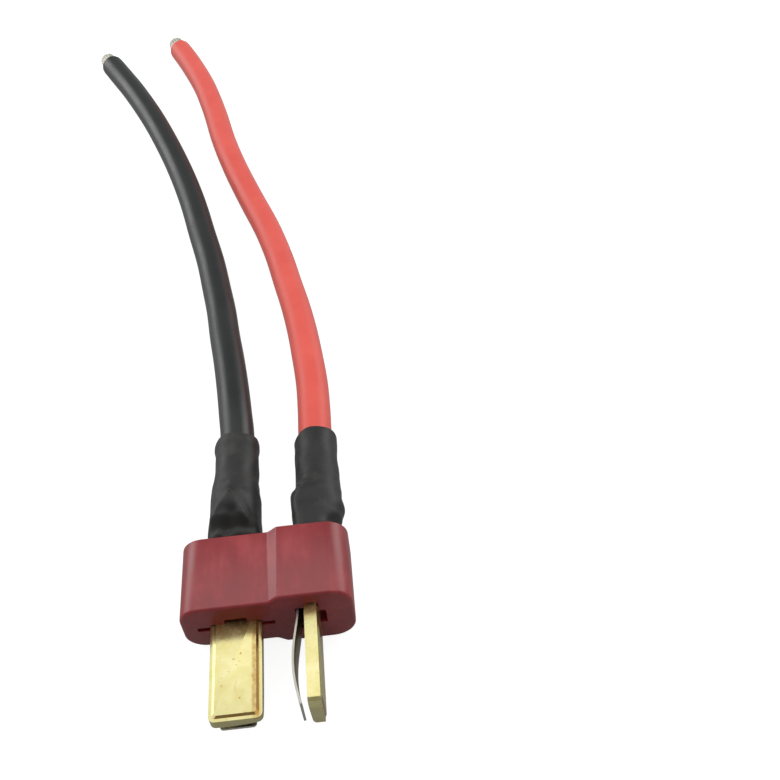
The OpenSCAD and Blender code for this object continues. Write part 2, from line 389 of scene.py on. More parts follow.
def lead(name, points, material):
    """A jacket swept along its route, its cut end slightly rounded."""
    tip = strand_bundle(name.replace("jacket", "strands"), points)
    line = smooth_route(points)
    data = bpy.data.curves.new(name, "CURVE")
    data.dimensions, data.bevel_depth = "3D", WIRE_R
    data.bevel_resolution, data.use_fill_caps = 6, True
    spline = data.splines.new("POLY")
    spline.points.add(len(line) - 1)
    for knot, place in zip(spline.points, line):
        knot.co = (*place, 1)
    piece = bpy.data.objects.new(name, data)
    bpy.context.scene.collection.objects.link(piece)
    select_only(piece)
    bpy.ops.object.convert(target="MESH")
    piece = bpy.context.view_layer.objects.active
    edges = piece.modifiers.new("cut_edge", "BEVEL")
    edges.width, edges.segments = 0.32 * MM, 4
    edges.limit_method, edges.angle_limit = "ANGLE", math.radians(60)
    finish_piece(piece, name, "plug", material, (name.replace("jacket", "wire"),))
    print(name, "is", round(route_length(line) / MM, 1), "mm long")
    return piece


lead("black_jacket", BLACK_ROUTE, BLACK_SILICONE)
lead("red_jacket", RED_ROUTE, RED_SILICONE)

# %% [markdown]
# ## Housing
# The housing is one moulding of nylon: a thick lobe for the upright blade, a
# thinner one for the flat blade, and a short slope between them. It is made
# from a cube that two cuts divide, so that one end can be pressed thinner.
# Rounding the corners comes before the front edge, so that the small rounding
# of the front runs round them too, and the pockets are cut last.

# %% Sizes of the housing and the contacts, in millimetres
HOUSING_W, HOUSING_L = 16.3, 8.0
THICK_H, THIN_H = 8.0, 6.5
THICK_R, THIN_R = 2.3, 2.1
STEP_X, STEP_W = 0.4, 0.9
BLADE_W, BLADE_T, BLADE_L, BLADE_SEAT = 4.8, 1.3, 9.5, 2.0
TAB_W, TAB_L, TAB_R = 4.0, 6.5, 1.0
SPRING_W, SPRING_T, SPRING_L, SPRING_ROOT = 3.3, 0.22, 9.45, 2.0
SPRING_GAP, SPRING_BOW, SPRING_TIP = 0.5, 1.11, 0.48
AT_FLAT = Matrix.Translation(Vector((-3.0, 0, -0.15)) * MM)
AT_UPRIGHT = (Matrix.Translation(Vector((4.2, 0, 0)) * MM)
              @ Matrix.Rotation(math.radians(90), 4, "Y"))

# %% Housing shape


def rounded_block():
    """Two lobes with a slope between, corners and rims rounded."""
    half = HOUSING_W / 2
    piece = block("housing_shell", (-half, 0, -THICK_H / 2),
                  (half, HOUSING_L, THICK_H / 2))
    edit(piece, "VERT")
    for x in (STEP_X, STEP_X + STEP_W):
        bpy.ops.mesh.select_all(action="SELECT")
        bpy.ops.mesh.bisect(plane_co=(x * MM, 0, 0), plane_no=(1, 0, 0))
    pick(piece, "VERT", lambda v: v.co.x < (STEP_X + 0.1) * MM)
    bpy.ops.transform.resize(value=(1, 1, THIN_H / THICK_H),
                             center_override=(0, 0, 0))
    bpy.ops.mesh.select_mode(type="EDGE")
    for side, radius in ((-half, THIN_R), (half, THICK_R)):
        pick(piece, "EDGE", lambda e: along(e, 1)
             and ends(e, lambda p: abs(p.x - side) < 0.01))
        bpy.ops.mesh.bevel(offset=radius * MM, segments=10,
                           affect="EDGES", clamp_overlap=False)
    pick(piece, "EDGE", lambda e: along(e, 1)
         and ends(e, lambda p: STEP_X - 0.1 < p.x < STEP_X + STEP_W + 0.1))
    bpy.ops.mesh.bevel(offset=0.16 * MM, segments=3, affect="EDGES")
    pick(piece, "EDGE", lambda e: all(abs(f.normal.y) > 0.9
                                      for f in e.link_faces))
    bpy.ops.mesh.dissolve_edges(use_verts=False)
    for y, radius, steps in ((0, 0.3, 4), (HOUSING_L, 0.15, 3)):
        pick(piece, "EDGE", lambda e: ends(e, lambda p: abs(p.y - y) < 0.01)
             and len(e.link_faces) == 2
             and abs(e.link_faces[0].normal.y - e.link_faces[1].normal.y) > 0.5)
        bpy.ops.mesh.bevel(offset=radius * MM, segments=steps, affect="EDGES")
    close()
    return piece


def room(place, across, deep, up):
    """A cutter for one contact, given flat and then put in its place."""
    cutter = block("cutter", (across[0], deep[0], up[0]),
                   (across[1], deep[1], up[1]))
    cutter.data.transform(place)
    return cutter


housing = rounded_block()
for place, slit in ((AT_FLAT, (-3.7, 3.6)), (AT_UPRIGHT, (-2.55, 3.5))):
    cut(housing, room(place, slit, (-1, 1), (-0.3, 0.3)))
    cut(housing, room(place, (-1.05, 1.05), (-1, 1), (-0.2, 1.3)))
    cut(housing, room(place, (-1.8, 1.8), (-1, 2.15), (-1.52, -0.4)))
    cut(housing, room(place, (-2.41, 2.41), (-1, 2.01), (-0.66, 0.66)))
    cut(housing, room(place, (-2.01, 2.01), (1, 9), (-0.66, 0.66)))

# %% Nylon


def moulded_nylon(name):
    """Red nylon, injection moulded: satin, with a fine sparked mould grain,
    streaks where the melt flowed and a few small handling marks. Nylon has
    an IOR of 1.53."""
    material, tree, shader, place = new_material(
        name, Roughness=0.42, IOR=1.53, Specular_IOR_Level=0.6)
    stretched = node(tree, "ShaderNodeMapping", Vector=place,
                     Scale=(1.0, 0.18, 1.0))
    flow = node(tree, "ShaderNodeTexNoise", Vector=stretched.outputs["Vector"],
                Scale=900.0, Detail=4.0, Roughness=0.6)
    cloud = node(tree, "ShaderNodeTexNoise", Vector=place, Scale=260.0,
                 Detail=3.0, Roughness=0.5)
    both = node(tree, "ShaderNodeMix", {"data_type": "FLOAT"}, i0=0.45,
                i2=cloud.outputs["Fac"], i3=flow.outputs["Fac"])
    colour = ramp(tree, both.outputs[0], [(0.35, linear("#871d24")),
                                          (0.5, linear("#93242a")),
                                          (0.65, linear("#a4363a"))])
    tree.links.new(colour, shader.inputs["Base Color"])
    grain = node(tree, "ShaderNodeTexNoise", Vector=place, Scale=6500.0,
                 Detail=2.0, Roughness=0.6)
    bump = node(tree, "ShaderNodeBump", Height=grain.outputs["Fac"],
                Strength=0.25, Distance=0.02 * MM)
    marks = node(tree, "ShaderNodeBump", Height=flow.outputs["Fac"],
                 Strength=0.3, Distance=0.05 * MM,
                 Normal=bump.outputs["Normal"])
    tree.links.new(marks.outputs["Normal"], shader.inputs["Normal"])
    rough = node(tree, "ShaderNodeMapRange", Value=both.outputs[0],
                 From_Min=0.3, From_Max=0.7, To_Min=0.3, To_Max=0.42)
    tree.links.new(rough.outputs["Result"], shader.inputs["Roughness"])
    return material


finish_piece(housing, "housing_shell", "plug", moulded_nylon("red_nylon"),
             ("housing",), smooth=40)

# %% [markdown]
# ## Contacts
# Each contact is one stamped strip of brass, gold plated. Stamping leaves a
# rim round the outer face of the blade, a step below its middle. Behind the
# housing the strip goes on as a narrower tab, to which the lead is soldered.
# One contact is modelled lying flat, and a copy of it is turned upright.

# %% Contact shape
RIM_FLAT, RIM_SLOPE, RIM_DEEP = 0.3, 0.23, 0.14
TIP_R, ROLLED_R = 0.55, 0.4


def stamped_contact():
    """Blade with a rimmed face in front, shank and tab behind. One long edge
    and the tip's corners are rolled over, as stamping leaves them."""
    half, top = BLADE_W / 2, BLADE_T / 2
    low = top - RIM_DEEP
    piece = block("contact", (-half, -BLADE_L, -top), (half, BLADE_SEAT, low))
    edit(piece, "FACE")
    pick(piece, "FACE", lambda f: f.normal.y > 0.9)
    bpy.ops.mesh.extrude_region_move()
    bpy.ops.transform.resize(value=(TAB_W / BLADE_W, 1, 0.96),
                             center_override=(0, BLADE_SEAT * MM, -0.07 * MM))
    bpy.ops.mesh.extrude_region_move(TRANSFORM_OT_translate={
        "value": (0, (HOUSING_L + TAB_L - BLADE_SEAT) * MM, 0)})
    bpy.ops.mesh.select_mode(type="EDGE")
    for wanted, radius in ((lambda y: y < -9, TIP_R), (lambda y: y > 14, TAB_R)):
        pick(piece, "EDGE", lambda e: along(e, 2)
             and wanted(e.verts[0].co.y / MM))
        bpy.ops.mesh.bevel(offset=radius * MM, segments=6, affect="EDGES")
    pick(piece, "EDGE", lambda e: ends(
        e, lambda p: p.y < BLADE_SEAT and abs(p.z + top) < 0.001)
        and (min(v.co.x for v in e.verts) > (half - TIP_R) * MM - 1e-7))
    bpy.ops.mesh.bevel(offset=ROLLED_R * MM, segments=5, affect="EDGES")
    bpy.ops.mesh.select_mode(type="FACE")
    pick(piece, "FACE", lambda f: f.normal.z > 0.9
         and f.calc_center_median().y < 0)
    bpy.ops.mesh.inset(thickness=RIM_FLAT * MM)
    bpy.ops.mesh.extrude_region_move(TRANSFORM_OT_translate={
        "value": (0, 0, RIM_DEEP * MM)})
    pad_x, pad_y = half - RIM_FLAT, (BLADE_L + BLADE_SEAT) / 2 - RIM_FLAT
    bpy.ops.transform.resize(
        value=(1 - RIM_SLOPE / pad_x, 1 - RIM_SLOPE / pad_y, 1),
        center_override=(0, (BLADE_SEAT - BLADE_L) / 2 * MM, top * MM))
    close()
    edges = piece.modifiers.new("edges", "BEVEL")
    edges.width, edges.segments = 0.09 * MM, 3
    edges.limit_method, edges.angle_limit = "ANGLE", math.radians(30)
    # Painted shade: the rim's slopes that face right and forward get a value that
    # colours them brown
    slope_shade = piece.data.attributes.new("slope_shade", "FLOAT", "FACE")
    for face in piece.data.polygons:
        if 0.5 < face.normal.z < 0.95 and face.center.z > low * MM:
            facing = face.normal.xy.normalized().dot(Vector((0.8, -0.6)))
            slope_shade.data[face.index].value = max(0.0, min(1.0, facing + 0.3))
    return piece


def twin(piece, place):
    """A copy with its own mesh, put in its place."""
    made = piece.copy()
    made.data = piece.data.copy()
    bpy.context.scene.collection.objects.link(made)
    made.data.transform(place)
    return made


contact = stamped_contact()

# %% Gold plating


# Marks on the upper face of the flat blade: place in millimetres, radius and
# how dark each is. The row of small ones is a scratch
FACE_MARKS = [
    ((-2.55, -3.21, 0.5), 0.13, 0.8), ((-2.6, -7.54, 0.5), 0.12, 0.8),
    ((-4.24, -6.25, 0.5), 0.16, 0.4), ((-2.09, -9.0, 0.5), 0.14, 0.8),
    ((-2.92, -5.95, 0.5), 0.07, 0.5), ((-2.97, -6.12, 0.5), 0.07, 0.5),
    ((-3.02, -6.3, 0.5), 0.07, 0.6), ((-3.04, -6.48, 0.5), 0.07, 0.6),
    ((-3.02, -6.66, 0.5), 0.07, 0.6), ((-2.97, -6.83, 0.5), 0.07, 0.5),
    ((-2.9, -6.98, 0.5), 0.07, 0.5)]
DIMPLE_AT, DIMPLE_R = (-2.8, -8.55, 0.5), 0.42
# Corner of the flat blade's raised face, seen along the blade, where a line of
# painted shade runs
SHADED_RIM_CORNER = (-1.15, 0, 0.5)


def spot(tree, place, centre, radius, depth):
    """A soft round spot about a place given in millimetres."""
    away = node(tree, "ShaderNodeVectorMath", {"operation": "DISTANCE"},
                i0=place, i1=tuple(c * MM for c in centre)).outputs["Value"]
    return node(tree, "ShaderNodeMapRange", {"interpolation_type": "SMOOTHSTEP"},
                Value=away, From_Min=0.4 * radius * MM, From_Max=radius * MM,
                To_Min=depth, To_Max=0.0).outputs["Result"]


def gilt_brass(name):
    """Stamped brass with a thin gold plating: pale satin gold, grainy from the
    die, with a few fine pits and marks. The marks' brown also paints shade on the
    rim's slopes that face right and forward and along the right edge of the flat
    blade's raised face, and paints the red housing's reflection at the roots."""
    material, tree, shader, place = new_material(
        name, Metallic=1.0, Roughness=0.25)
    cloud = node(tree, "ShaderNodeTexNoise", Vector=place, Scale=700.0,
                 Detail=4.0, Roughness=0.6)
    pits = node(tree, "ShaderNodeTexNoise", Vector=place, Scale=2600.0,
                Detail=2.0, Roughness=0.55)
    colour = ramp(tree, cloud.outputs["Fac"], [(0.3, linear("#c5ba7d")),
                                               (0.5, linear("#cfc78f")),
                                               (0.7, linear("#d8d2a0"))])
    spots = ramp(tree, pits.outputs["Fac"], [(0.0, grey(0.0)), (0.69, grey(0.0)),
                                             (0.75, grey(0.8))])
    pitted = node(tree, "ShaderNodeMix", {"data_type": "RGBA"}, i0=spots,
                  i6=colour, i7=linear("#8a7545"))
    split = node(tree, "ShaderNodeSeparateXYZ", Vector=place)
    # Gold lower than about 1 mm turns duller and darker towards the tip
    towards_tip = node(tree, "ShaderNodeMapRange", Value=split.outputs["Y"],
                       From_Min=-4 * MM, From_Max=-9 * MM, To_Max=0.4)
    low_down = node(tree, "ShaderNodeMapRange", Value=split.outputs["Z"],
                    From_Min=1.2 * MM, From_Max=0.8 * MM)
    tip_fade = node(tree, "ShaderNodeMath", {"operation": "MULTIPLY"},
                   i0=towards_tip.outputs["Result"],
                   i1=low_down.outputs["Result"])
    duller = node(tree, "ShaderNodeMix", {"data_type": "RGBA"},
                  i0=tip_fade.outputs[0], i6=pitted.outputs[2],
                  i7=linear("#a39c6c"))
    # Painted shade on those rim slopes, made uneven by the cloud
    slope_shade = node(tree, "ShaderNodeAttribute", {"attribute_name": "slope_shade"})
    uneven = node(tree, "ShaderNodeMapRange", Value=cloud.outputs["Fac"],
                  From_Min=0.3, From_Max=0.6, To_Min=0.65, To_Max=1.0)
    shaded_slopes = node(tree, "ShaderNodeMath", {"operation": "MULTIPLY"},
                 i0=slope_shade.outputs["Fac"], i1=uneven.outputs["Result"])
    marked = spot(tree, place, *FACE_MARKS[0])
    for mark in FACE_MARKS[1:]:
        marked = node(tree, "ShaderNodeMath", {"operation": "MAXIMUM"},
                      i0=marked, i1=spot(tree, place, *mark)).outputs[0]
    # Painted shade along the right edge of the flat blade's raised face
    section = node(tree, "ShaderNodeVectorMath", {"operation": "MULTIPLY"},
                   i0=place, i1=(1.0, 0.0, 1.0)).outputs["Vector"]
    rim_corner_shade = spot(tree, section, SHADED_RIM_CORNER, 0.5, 0.6)
    # Painted reflection: brown on both blades next to the housing stands for the
    # red housing mirrored in the gold; the same mask also roughens the gold there
    root = node(tree, "ShaderNodeMapRange", {"interpolation_type": "SMOOTHSTEP"},
                Value=split.outputs["Y"], From_Min=-1.9 * MM, From_Max=-0.3 * MM,
                To_Min=0.0, To_Max=0.6).outputs["Result"]
    grainy = node(tree, "ShaderNodeMath", {"operation": "MULTIPLY"},
                  i0=node(tree, "ShaderNodeMath", {"operation": "MAXIMUM"},
                          i0=rim_corner_shade, i1=root).outputs[0],
                  i1=node(tree, "ShaderNodeMapRange", Value=pits.outputs["Fac"],
                          From_Min=0.35, From_Max=0.6, To_Min=0.6,
                          To_Max=1.2).outputs["Result"])
    # The painted shade and reflection join the real marks, and all are coloured
    # brown
    painted_shade_and_reflection = node(tree, "ShaderNodeMath", {"operation": "MAXIMUM"},
                i0=grainy.outputs[0], i1=shaded_slopes.outputs[0])
    marks_and_painted_shade = node(tree, "ShaderNodeMath", {"operation": "MAXIMUM"},
                  i0=marked, i1=painted_shade_and_reflection.outputs[0])
    marked_and_shaded = node(tree, "ShaderNodeMix", {"data_type": "RGBA"},
                i0=marks_and_painted_shade.outputs[0], i6=duller.outputs[2],
                i7=linear("#a0763a"))
    tree.links.new(marked_and_shaded.outputs[2], shader.inputs["Base Color"])
    rough = node(tree, "ShaderNodeMapRange", Value=cloud.outputs["Fac"],
                 From_Min=0.3, From_Max=0.7, To_Min=0.18, To_Max=0.28)
    dull = node(tree, "ShaderNodeMath", {"operation": "MULTIPLY_ADD"},
                i0=root, i1=0.3, i2=rough.outputs["Result"])
    tree.links.new(dull.outputs[0], shader.inputs["Roughness"])
    bump = node(tree, "ShaderNodeBump", Height=pits.outputs["Fac"],
                Strength=0.14, Distance=0.03 * MM)
    dent = node(tree, "ShaderNodeBump", {"invert": True},
                Height=spot(tree, place, DIMPLE_AT, DIMPLE_R, 1.0),
                Strength=0.35, Distance=0.04 * MM,
                Normal=bump.outputs["Normal"])
    tree.links.new(dent.outputs["Normal"], shader.inputs["Normal"])
    return material


GILT = gilt_brass("gilt_brass")
for side, place in (("flat", AT_FLAT), ("upright", AT_UPRIGHT)):
    finish_piece(twin(contact, place), side + "_contact", "plug", GILT,
                 (side + "_blade",), smooth=30)
bpy.data.objects.remove(contact)

# %% [markdown]
# ## Leaf springs
# Beside each blade stands a bowed leaf of bright spring steel. It presses the
# blade's other face against the socket. The leaf is drawn as its centre line,
# one short edge extruded step by step along the bow, and then given its
# thickness.

# %% Spring shape


def bow(t):
    """Gap between blade and leaf, at a share t of the way to the tip. The
    bow is fuller towards the tip."""
    straight = SPRING_GAP * (1 - t) + SPRING_TIP * t
    return straight + (SPRING_BOW - (SPRING_GAP + SPRING_TIP) / 2) * math.sin(
        math.pi * t ** 1.2)


def leaf_spring(steps=22):
    """Inner face of the leaf from root to tip, then thickened outwards."""
    face = -BLADE_T / 2
    bpy.ops.object.select_all(action="DESELECT")
    bpy.ops.mesh.primitive_plane_add(size=1.0, location=(0, 0, 0))
    piece = bpy.context.active_object
    piece.scale = (SPRING_W * MM, SPRING_ROOT * MM, 1)
    piece.location = Vector((0, SPRING_ROOT / 2, face - bow(0))) * MM
    bpy.ops.object.transform_apply(location=True, rotation=True, scale=True)
    edit(piece, "EDGE")
    pick(piece, "EDGE", lambda e: ends(e, lambda p: abs(p.y) < 0.01))
    for i in range(steps):
        drop = bow((i + 1) / steps) - bow(i / steps)
        bpy.ops.mesh.extrude_region_move(TRANSFORM_OT_translate={
            "value": (0, -SPRING_L / steps * MM, -drop * MM)})
    close()
    edit(piece, "VERT")
    pick(piece, "VERT", lambda v: v.co.y < (-SPRING_L + 0.01) * MM)
    bpy.ops.mesh.bevel(offset=0.35 * MM, segments=4, affect="VERTICES")
    bpy.ops.mesh.select_all(action="SELECT")
    bpy.ops.mesh.normals_make_consistent(inside=False)
    close()
    wall = piece.modifiers.new("wall", "SOLIDIFY")
    wall.thickness, wall.offset = SPRING_T * MM, 1.0
    edges = piece.modifiers.new("edges", "BEVEL")
    edges.width, edges.segments = 0.04 * MM, 2
    edges.limit_method, edges.angle_limit = "ANGLE", math.radians(50)
    return piece


leaf = leaf_spring()
outward = leaf.data.polygons[0].normal.z
print("leaf faces outwards:", outward < 0)
if outward > 0:
    leaf.data.flip_normals()

# %% Spring steel


def rolled_steel(name):
    """Stainless spring strip, cold rolled: bright, with fine roll lines along
    its length."""
    material, tree, shader, place = new_material(
        name, Metallic=1.0, Roughness=0.28)
    stretched = node(tree, "ShaderNodeMapping", Vector=place,
                     Scale=(1.0, 0.05, 1.0))
    lines = node(tree, "ShaderNodeTexNoise", Vector=stretched.outputs["Vector"],
                 Scale=5200.0, Detail=3.0, Roughness=0.6)
    colour = ramp(tree, lines.outputs["Fac"], [(0.3, linear("#a09e95")),
                                               (0.7, linear("#bebbb1"))])
    tree.links.new(colour, shader.inputs["Base Color"])
    rough = node(tree, "ShaderNodeMapRange", Value=lines.outputs["Fac"],
                 From_Min=0.3, From_Max=0.7, To_Min=0.3, To_Max=0.42)
    tree.links.new(rough.outputs["Result"], shader.inputs["Roughness"])
    bump = node(tree, "ShaderNodeBump", Height=lines.outputs["Fac"],
                Strength=0.15, Distance=0.01 * MM)
    tree.links.new(bump.outputs["Normal"], shader.inputs["Normal"])
    return material


STEEL = rolled_steel("spring_steel")
for side, place in (("flat", AT_FLAT), ("upright", AT_UPRIGHT)):
    finish_piece(twin(leaf, place), side + "_leaf", side + "_spring", STEEL,
                 (side + "_spring",), smooth=40)
bpy.data.objects.remove(leaf)

# %% [markdown]
# ## Shrink sleeves
# A sleeve is a piece of polyolefin tube, heated until it shrinks onto what it
# covers. Near the housing it follows the wide flat tab and the solder, and
# further back the round lead, so its section changes all the way. It starts
# as a circle that is extruded ring by ring, and each ring then takes the
# section of its place.

# %% Sleeve shape
SLEEVE_T = 0.4
LEAD_OFFSET = 1.15
# Distance behind the housing, middle, half width, height above and below the
# middle, and how square the upper and the lower half are
SLEEVE_ROOT = [
    (0, 0, 2.75, 1.55, 1.35, 3, 4), (1.4, 0, 2.7, 2.4, 1.4, 2.6, 4),
    (3, 0.1, 2.65, 3.35, 1.7, 2.3, 4)]
SLEEVE_RINGS = {
    "black": SLEEVE_ROOT + [
        (4.3, 0.15, 2.6, 3.5, 1.85, 2.2, 3.5), (6, 0.4, 2.6, 3.15, 2.1, 2, 3),
        (7.2, 0.8, 2.45, 2.7, 2.15, 2, 2.4),
        (8.2, LEAD_OFFSET, 2.3, 2.3, 2.3, 2, 2),
        (11.5, LEAD_OFFSET, 2.3, 2.3, 2.3, 2, 2),
        (12.6, LEAD_OFFSET, 2.42, 2.42, 2.42, 2, 2),
        (13, LEAD_OFFSET, 2.4, 2.4, 2.4, 2, 2),
        (13.3, LEAD_OFFSET, 2.3, 2.3, 2.3, 2, 2)],
    "red": SLEEVE_ROOT + [
        (4.1, 0.15, 2.6, 3.65, 1.85, 2.1, 3.5),
        (5.4, 0.3, 2.65, 3.3, 2.0, 2, 3), (6.2, 0.75, 2.5, 2.85, 2.0, 2, 3),
        (7.2, 1.05, 2.4, 2.45, 2.2, 2, 2.2),
        (8.2, LEAD_OFFSET, 2.3, 2.3, 2.3, 2, 2),
        (13.6, LEAD_OFFSET, 2.33, 2.33, 2.33, 2, 2)]}
RING_STEPS, RING_SIDES = 76, 96
# Folds of the black sleeve over the solder: how far each lifts or sinks it,
# its half width, and the places that it runs through, given by an angle round
# the sleeve and a distance behind the housing
FOLDS = [
    (0.2, 0.5, (94, 5.1), (108, 4.1), (135, 2.9)),
    (0.26, 0.42, (92, 5.1), (80, 3.4), (64, 2.2)),
    (-0.36, 0.5, (88, 2.9), (94, 2.2), (98, 1.5)),
    (-0.14, 0.55, (120, 6.6), (108, 6.7)),
    (-0.14, 0.7, (60, 5.2), (54, 4.4)),
    (-0.12, 0.5, (44, 3.4), (38, 3.0)),
    (0.08, 0.3, (114, 1.5), (110, 1.3))]
ROUND_MM = 2.7
WRINKLES = [(88, 5.7), (92, 6.6), (70, 5.3)]
WRINKLE_H = 0.04


def ring_at(rings, back):
    """Section of the sleeve at a distance behind the housing."""
    for low, high in zip(rings, rings[1:]):
        if back <= high[0] + 1e-6:
            t = (back - low[0]) / (high[0] - low[0])
            t = t * t * (3 - 2 * t)
            return [a + (b - a) * t for a, b in zip(low, high)]
    return rings[-1]


def power(value, square):
    return math.copysign(abs(value) ** (2 / square), value)


def on_sleeve(angle, back):
    """A place on the sleeve laid out flat, in millimetres."""
    return Vector((math.radians(angle) * ROUND_MM, back))


def off_stretch(here, a, b):
    """Distance of a place from the straight stretch between two others."""
    share = max(0, min(1, (here - a).dot(b - a) / (b - a).length_squared))
    return (here - a.lerp(b, share)).length


def folds(angle, back):
    """How far the folds lift or sink the black sleeve, in millimetres."""
    here, lift = on_sleeve(angle, back), 0.0
    for height, width, *places in FOLDS:
        line = [on_sleeve(*place) for place in places]
        off = min(off_stretch(here, a, b) for a, b in zip(line, line[1:]))
        lift += height * math.exp(-(off / width) ** 2)
    for place in WRINKLES:
        off = here - on_sleeve(*place)
        lift += WRINKLE_H * math.exp(-(off.x / 0.6) ** 2 - (off.y / 0.35) ** 2
                                     ) * math.sin(off.y * 20 + off.x * 3)
    return lift


def waviness(angle, back, seed):
    """Slow unevenness that heating leaves, in millimetres."""
    turn = math.radians(angle)
    return 0.03 * (math.sin(2 * turn + 0.9 * back + seed)
                   + math.sin(3 * turn - 1.3 * back + 2 * seed)
                   + 0.5 * math.sin(5 * turn + 2.1 * back + 3 * seed))


def shrink_sleeve(colour, place):
    """Rings extruded from a circle, each then given its own section."""
    rings = SLEEVE_RINGS[colour]
    length, seed = rings[-1][0], 1.0 if colour == "black" else 4.0
    bpy.ops.object.select_all(action="DESELECT")
    bpy.ops.mesh.primitive_circle_add(
        vertices=RING_SIDES, radius=2 * MM, location=(0, HOUSING_L * MM, 0),
        rotation=(math.radians(90), 0, 0))
    piece = bpy.context.active_object
    bpy.ops.object.transform_apply(location=True, rotation=True, scale=True)
    edit(piece, "EDGE")
    bpy.ops.mesh.select_all(action="SELECT")
    for _ in range(RING_STEPS):
        bpy.ops.mesh.extrude_region_move(TRANSFORM_OT_translate={
            "value": (0, length / RING_STEPS * MM, 0)})
    bpy.ops.mesh.select_all(action="SELECT")
    bpy.ops.mesh.normals_make_consistent(inside=False)
    close()
    for vert in piece.data.vertices:
        back = vert.co.y / MM - HOUSING_L
        turn = math.atan2(vert.co.z, vert.co.x)
        angle = math.degrees(turn) % 360
        _, mid, wide, above, below, sharp, blunt = ring_at(rings, back)
        up = math.sin(turn) >= 0
        square = sharp if up else blunt
        loose = max(0.0, min(1.0, back / 1.5)) * waviness(angle, back, seed)
        side, slant = 0.0, 0.0
        end = max(0.0, (back - length + 2) / 2) ** 2
        if colour == "black":
            loose += folds(angle, back)
            side = -0.24 * (1 - max(0, min(1, (back - 5.5) / 4)))
            slant = 0.12 * math.sin(3 * turn + 1) * end
        else:
            slant = (0.24 * math.sin(turn - 0.2) + 0.3 * math.cos(turn) ** 2
                     + 0.05 * math.sin(4 * turn) - 0.05) * end
        vert.co.x = ((wide + loose) * power(math.cos(turn), square) + side) * MM
        vert.co.z = (mid + ((above if up else below) + loose)
                     * power(math.sin(turn), square)) * MM
        vert.co.y += slant * MM
    piece.data.transform(place)
    wall = piece.modifiers.new("wall", "SOLIDIFY")
    wall.thickness, wall.offset = SLEEVE_T * MM, -1.0
    edges = piece.modifiers.new("edges", "BEVEL")
    edges.width, edges.segments = 0.12 * MM, 2
    edges.limit_method, edges.angle_limit = "ANGLE", math.radians(60)
    return piece


# %% Shrink tube material


def shrunk_polyolefin(name):
    """Black polyolefin tube, extruded and shrunk: matt, slightly dusty."""
    material, tree, shader, place = new_material(
        name, Roughness=0.5, IOR=1.49, Specular_IOR_Level=0.42,
        Sheen_Weight=0.06, Sheen_Roughness=0.5)
    cloud = node(tree, "ShaderNodeTexNoise", Vector=place, Scale=420.0,
                 Detail=5.0, Roughness=0.6)
    grain = node(tree, "ShaderNodeTexNoise", Vector=place, Scale=5200.0,
                 Detail=2.0, Roughness=0.6)
    colour = ramp(tree, cloud.outputs["Fac"], [(0.3, linear("#131514")),
                                               (0.55, linear("#1b1d1b")),
                                               (0.72, linear("#343632"))])
    tree.links.new(colour, shader.inputs["Base Color"])
    rough = node(tree, "ShaderNodeMapRange", Value=cloud.outputs["Fac"],
                 From_Min=0.3, From_Max=0.7, To_Min=0.42, To_Max=0.58)
    tree.links.new(rough.outputs["Result"], shader.inputs["Roughness"])
    waves = node(tree, "ShaderNodeBump", Height=cloud.outputs["Fac"],
                 Strength=0.38, Distance=0.15 * MM)
    bump = node(tree, "ShaderNodeBump", Height=grain.outputs["Fac"],
                Strength=0.3, Distance=0.02 * MM,
                Normal=waves.outputs["Normal"])
    tree.links.new(bump.outputs["Normal"], shader.inputs["Normal"])
    return material


SHRINK = shrunk_polyolefin("shrunk_polyolefin")
for colour, place in (("black", AT_FLAT), ("red", AT_UPRIGHT)):
    finish_piece(shrink_sleeve(colour, place), colour + "_shrink", "plug",
                 SHRINK, (colour + "_sleeve",), smooth=50)

# %% [markdown]
# ## Solder and stripped cores
# Inside each sleeve the stripped core lies on the tab in a fillet of solder.
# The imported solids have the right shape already, so they stay, and only take
# a finish: bright tin-lead solder, and red copper strands twisted together.

# %% Solder and copper


def twisted_copper(name):
    """Bare copper strands, twisted: reddish metal, with painted shade in the
    slanting gaps between strands of about 0.15 mm."""
    material, tree, shader, place = new_material(
        name, Metallic=1.0, Roughness=0.35)
    slanted = node(tree, "ShaderNodeMapping", Vector=place,
                   Rotation=(0.3, 0.3, 0.9))
    lays = node(tree, "ShaderNodeTexWave", Vector=slanted.outputs["Vector"],
                Scale=1050.0, Distortion=1.5, Detail=2.0)
    # Painted shade: the darkest stop falls in the gaps between strands
    colour = ramp(tree, lays.outputs["Fac"], [(0.1, linear("#7a3f22")),
                                              (0.5, linear("#b8693f")),
                                              (0.9, linear("#d08a5c"))])
    tree.links.new(colour, shader.inputs["Base Color"])
    bump = node(tree, "ShaderNodeBump", Height=lays.outputs["Fac"],
                Strength=0.5, Distance=0.05 * MM)
    tree.links.new(bump.outputs["Normal"], shader.inputs["Normal"])
    return material


def tin_solder(name):
    """Tin-lead solder, set from a liquid: bright silver grey, with faint
    frosty patches and a little brown flux."""
    material, tree, shader, place = new_material(
        name, Metallic=1.0, Roughness=0.25)
    frost = node(tree, "ShaderNodeTexNoise", Vector=place, Scale=1500.0,
                 Detail=4.0, Roughness=0.6)
    colour = ramp(tree, frost.outputs["Fac"], [(0.3, linear("#8f7f62")),
                                               (0.42, linear("#b4b5b4")),
                                               (0.7, linear("#cfd0d0"))])
    tree.links.new(colour, shader.inputs["Base Color"])
    rough = node(tree, "ShaderNodeMapRange", Value=frost.outputs["Fac"],
                 From_Min=0.3, From_Max=0.7, To_Min=0.16, To_Max=0.4)
    tree.links.new(rough.outputs["Result"], shader.inputs["Roughness"])
    bump = node(tree, "ShaderNodeBump", Height=frost.outputs["Fac"],
                Strength=0.2, Distance=0.05 * MM)
    tree.links.new(bump.outputs["Normal"], shader.inputs["Normal"])
    return material


